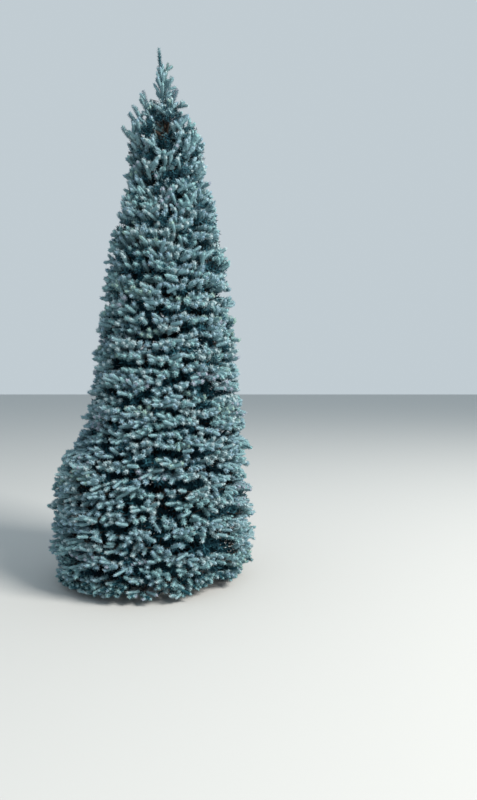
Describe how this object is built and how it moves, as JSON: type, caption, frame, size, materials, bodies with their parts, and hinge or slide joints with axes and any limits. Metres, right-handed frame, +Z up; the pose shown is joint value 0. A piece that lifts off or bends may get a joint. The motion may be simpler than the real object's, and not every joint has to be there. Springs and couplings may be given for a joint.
{
  "type": "blue spruce tree",
  "caption": "Whole blue spruce tree with a straight tapering trunk, short boughs and a dense narrow cone of silver-blue needle foliage in tiers.",
  "frame": {"origin": "middle of the trunk's flat cut at ground level", "axes": "+Z up along the trunk; -Y is the side that faces the viewer of the picture; +X is to the viewer's right"},
  "size_m": [1.5924, 1.6058, 4.15],
  "materials": {
    "bark": "matt",
    "needles": "matt"
  },
  "bodies": {
    "root": {"bough_01_a": "bark", "bough_01_b": "bark", "bough_01_c": "bark", "bough_01_d": "bark", "bough_01_e": "bark", "bough_02_a": "bark", "bough_02_b": "bark", "bough_02_c": "bark", "bough_02_d": "bark", "bough_02_e": "bark", "bough_03_a": "bark", "bough_03_b": "bark", "bough_03_c": "bark", "bough_03_d": "bark", "bough_04_a": "bark", "bough_04_b": "bark", "bough_04_c": "bark", "bough_04_d": "bark", "foliage_01_a": "needles", "foliage_01_b": "needles", "foliage_01_c": "needles", "foliage_01_d": "needles", "foliage_01_e": "needles", "foliage_02_a": "needles", "foliage_02_b": "needles", "foliage_02_c": "needles", "foliage_02_d": "needles", "foliage_02_e": "needles", "foliage_03_a": "needles", "foliage_03_b": "needles", "foliage_03_c": "needles", "foliage_03_d": "needles", "foliage_04_a": "needles", "foliage_04_b": "needles", "foliage_04_c": "needles", "foliage_04_d": "needles", "foliage_05_a": "needles", "foliage_05_b": "needles", "foliage_05_c": "needles", "foliage_06_a": "needles", "foliage_06_b": "needles", "foliage_06_c": "needles", "foliage_07_a": "needles", "foliage_07_b": "needles", "foliage_07_c": "needles", "foliage_08_a": "needles", "foliage_08_b": "needles", "foliage_08_c": "needles", "foliage_09_a": "needles", "foliage_09_b": "needles", "foliage_09_c": "needles", "foliage_10_a": "needles", "foliage_10_b": "needles", "foliage_11_a": "needles", "foliage_11_b": "needles", "foliage_leader": "needles", "trunk": "bark"}
  },
  "joints": []
}
